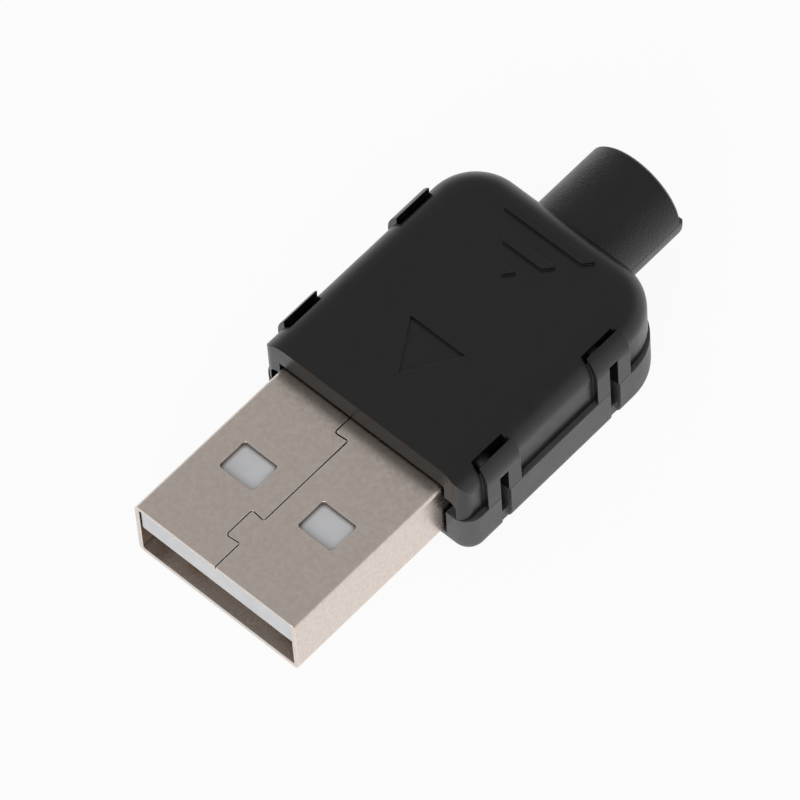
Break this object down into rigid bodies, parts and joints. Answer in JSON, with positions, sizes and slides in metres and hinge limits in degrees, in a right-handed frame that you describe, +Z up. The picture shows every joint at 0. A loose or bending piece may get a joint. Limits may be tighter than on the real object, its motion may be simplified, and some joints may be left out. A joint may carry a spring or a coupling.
{
  "type": "usb-a plug",
  "caption": "Solder-type USB-A plug with a folded metal shell, a white insulator and black snap-together covers that end in a strain-relief tube.",
  "frame": {"origin": "centre of the footprint, on the flat underside of the lower cover", "axes": "+Y along the plug towards the cable outlet, with the mouth facing -Y; +Z up through the face with the marks; +X to the right for someone who looks along +Y"},
  "size_m": [0.0156, 0.0348, 0.0078],
  "materials": {
    "shell_plate": "bright nickel plate over rolled steel, with a slight satin grain",
    "white_plastic": "moulded white plastic with a low sheen",
    "contact_plate": "thin gold plate",
    "cover_smooth": "black moulded plastic with a soft gloss",
    "cover_grained": "black moulded plastic with a fine spark-eroded grain"
  },
  "bodies": {
    "root": {"metal_shell": "shell_plate", "insulator": "white_plastic", "contact_vbus": "contact_plate", "contact_data_minus": "contact_plate", "contact_data_plus": "contact_plate", "contact_ground": "contact_plate", "upper_cover": "cover_smooth", "lower_cover": "cover_grained"}
  },
  "joints": []
}
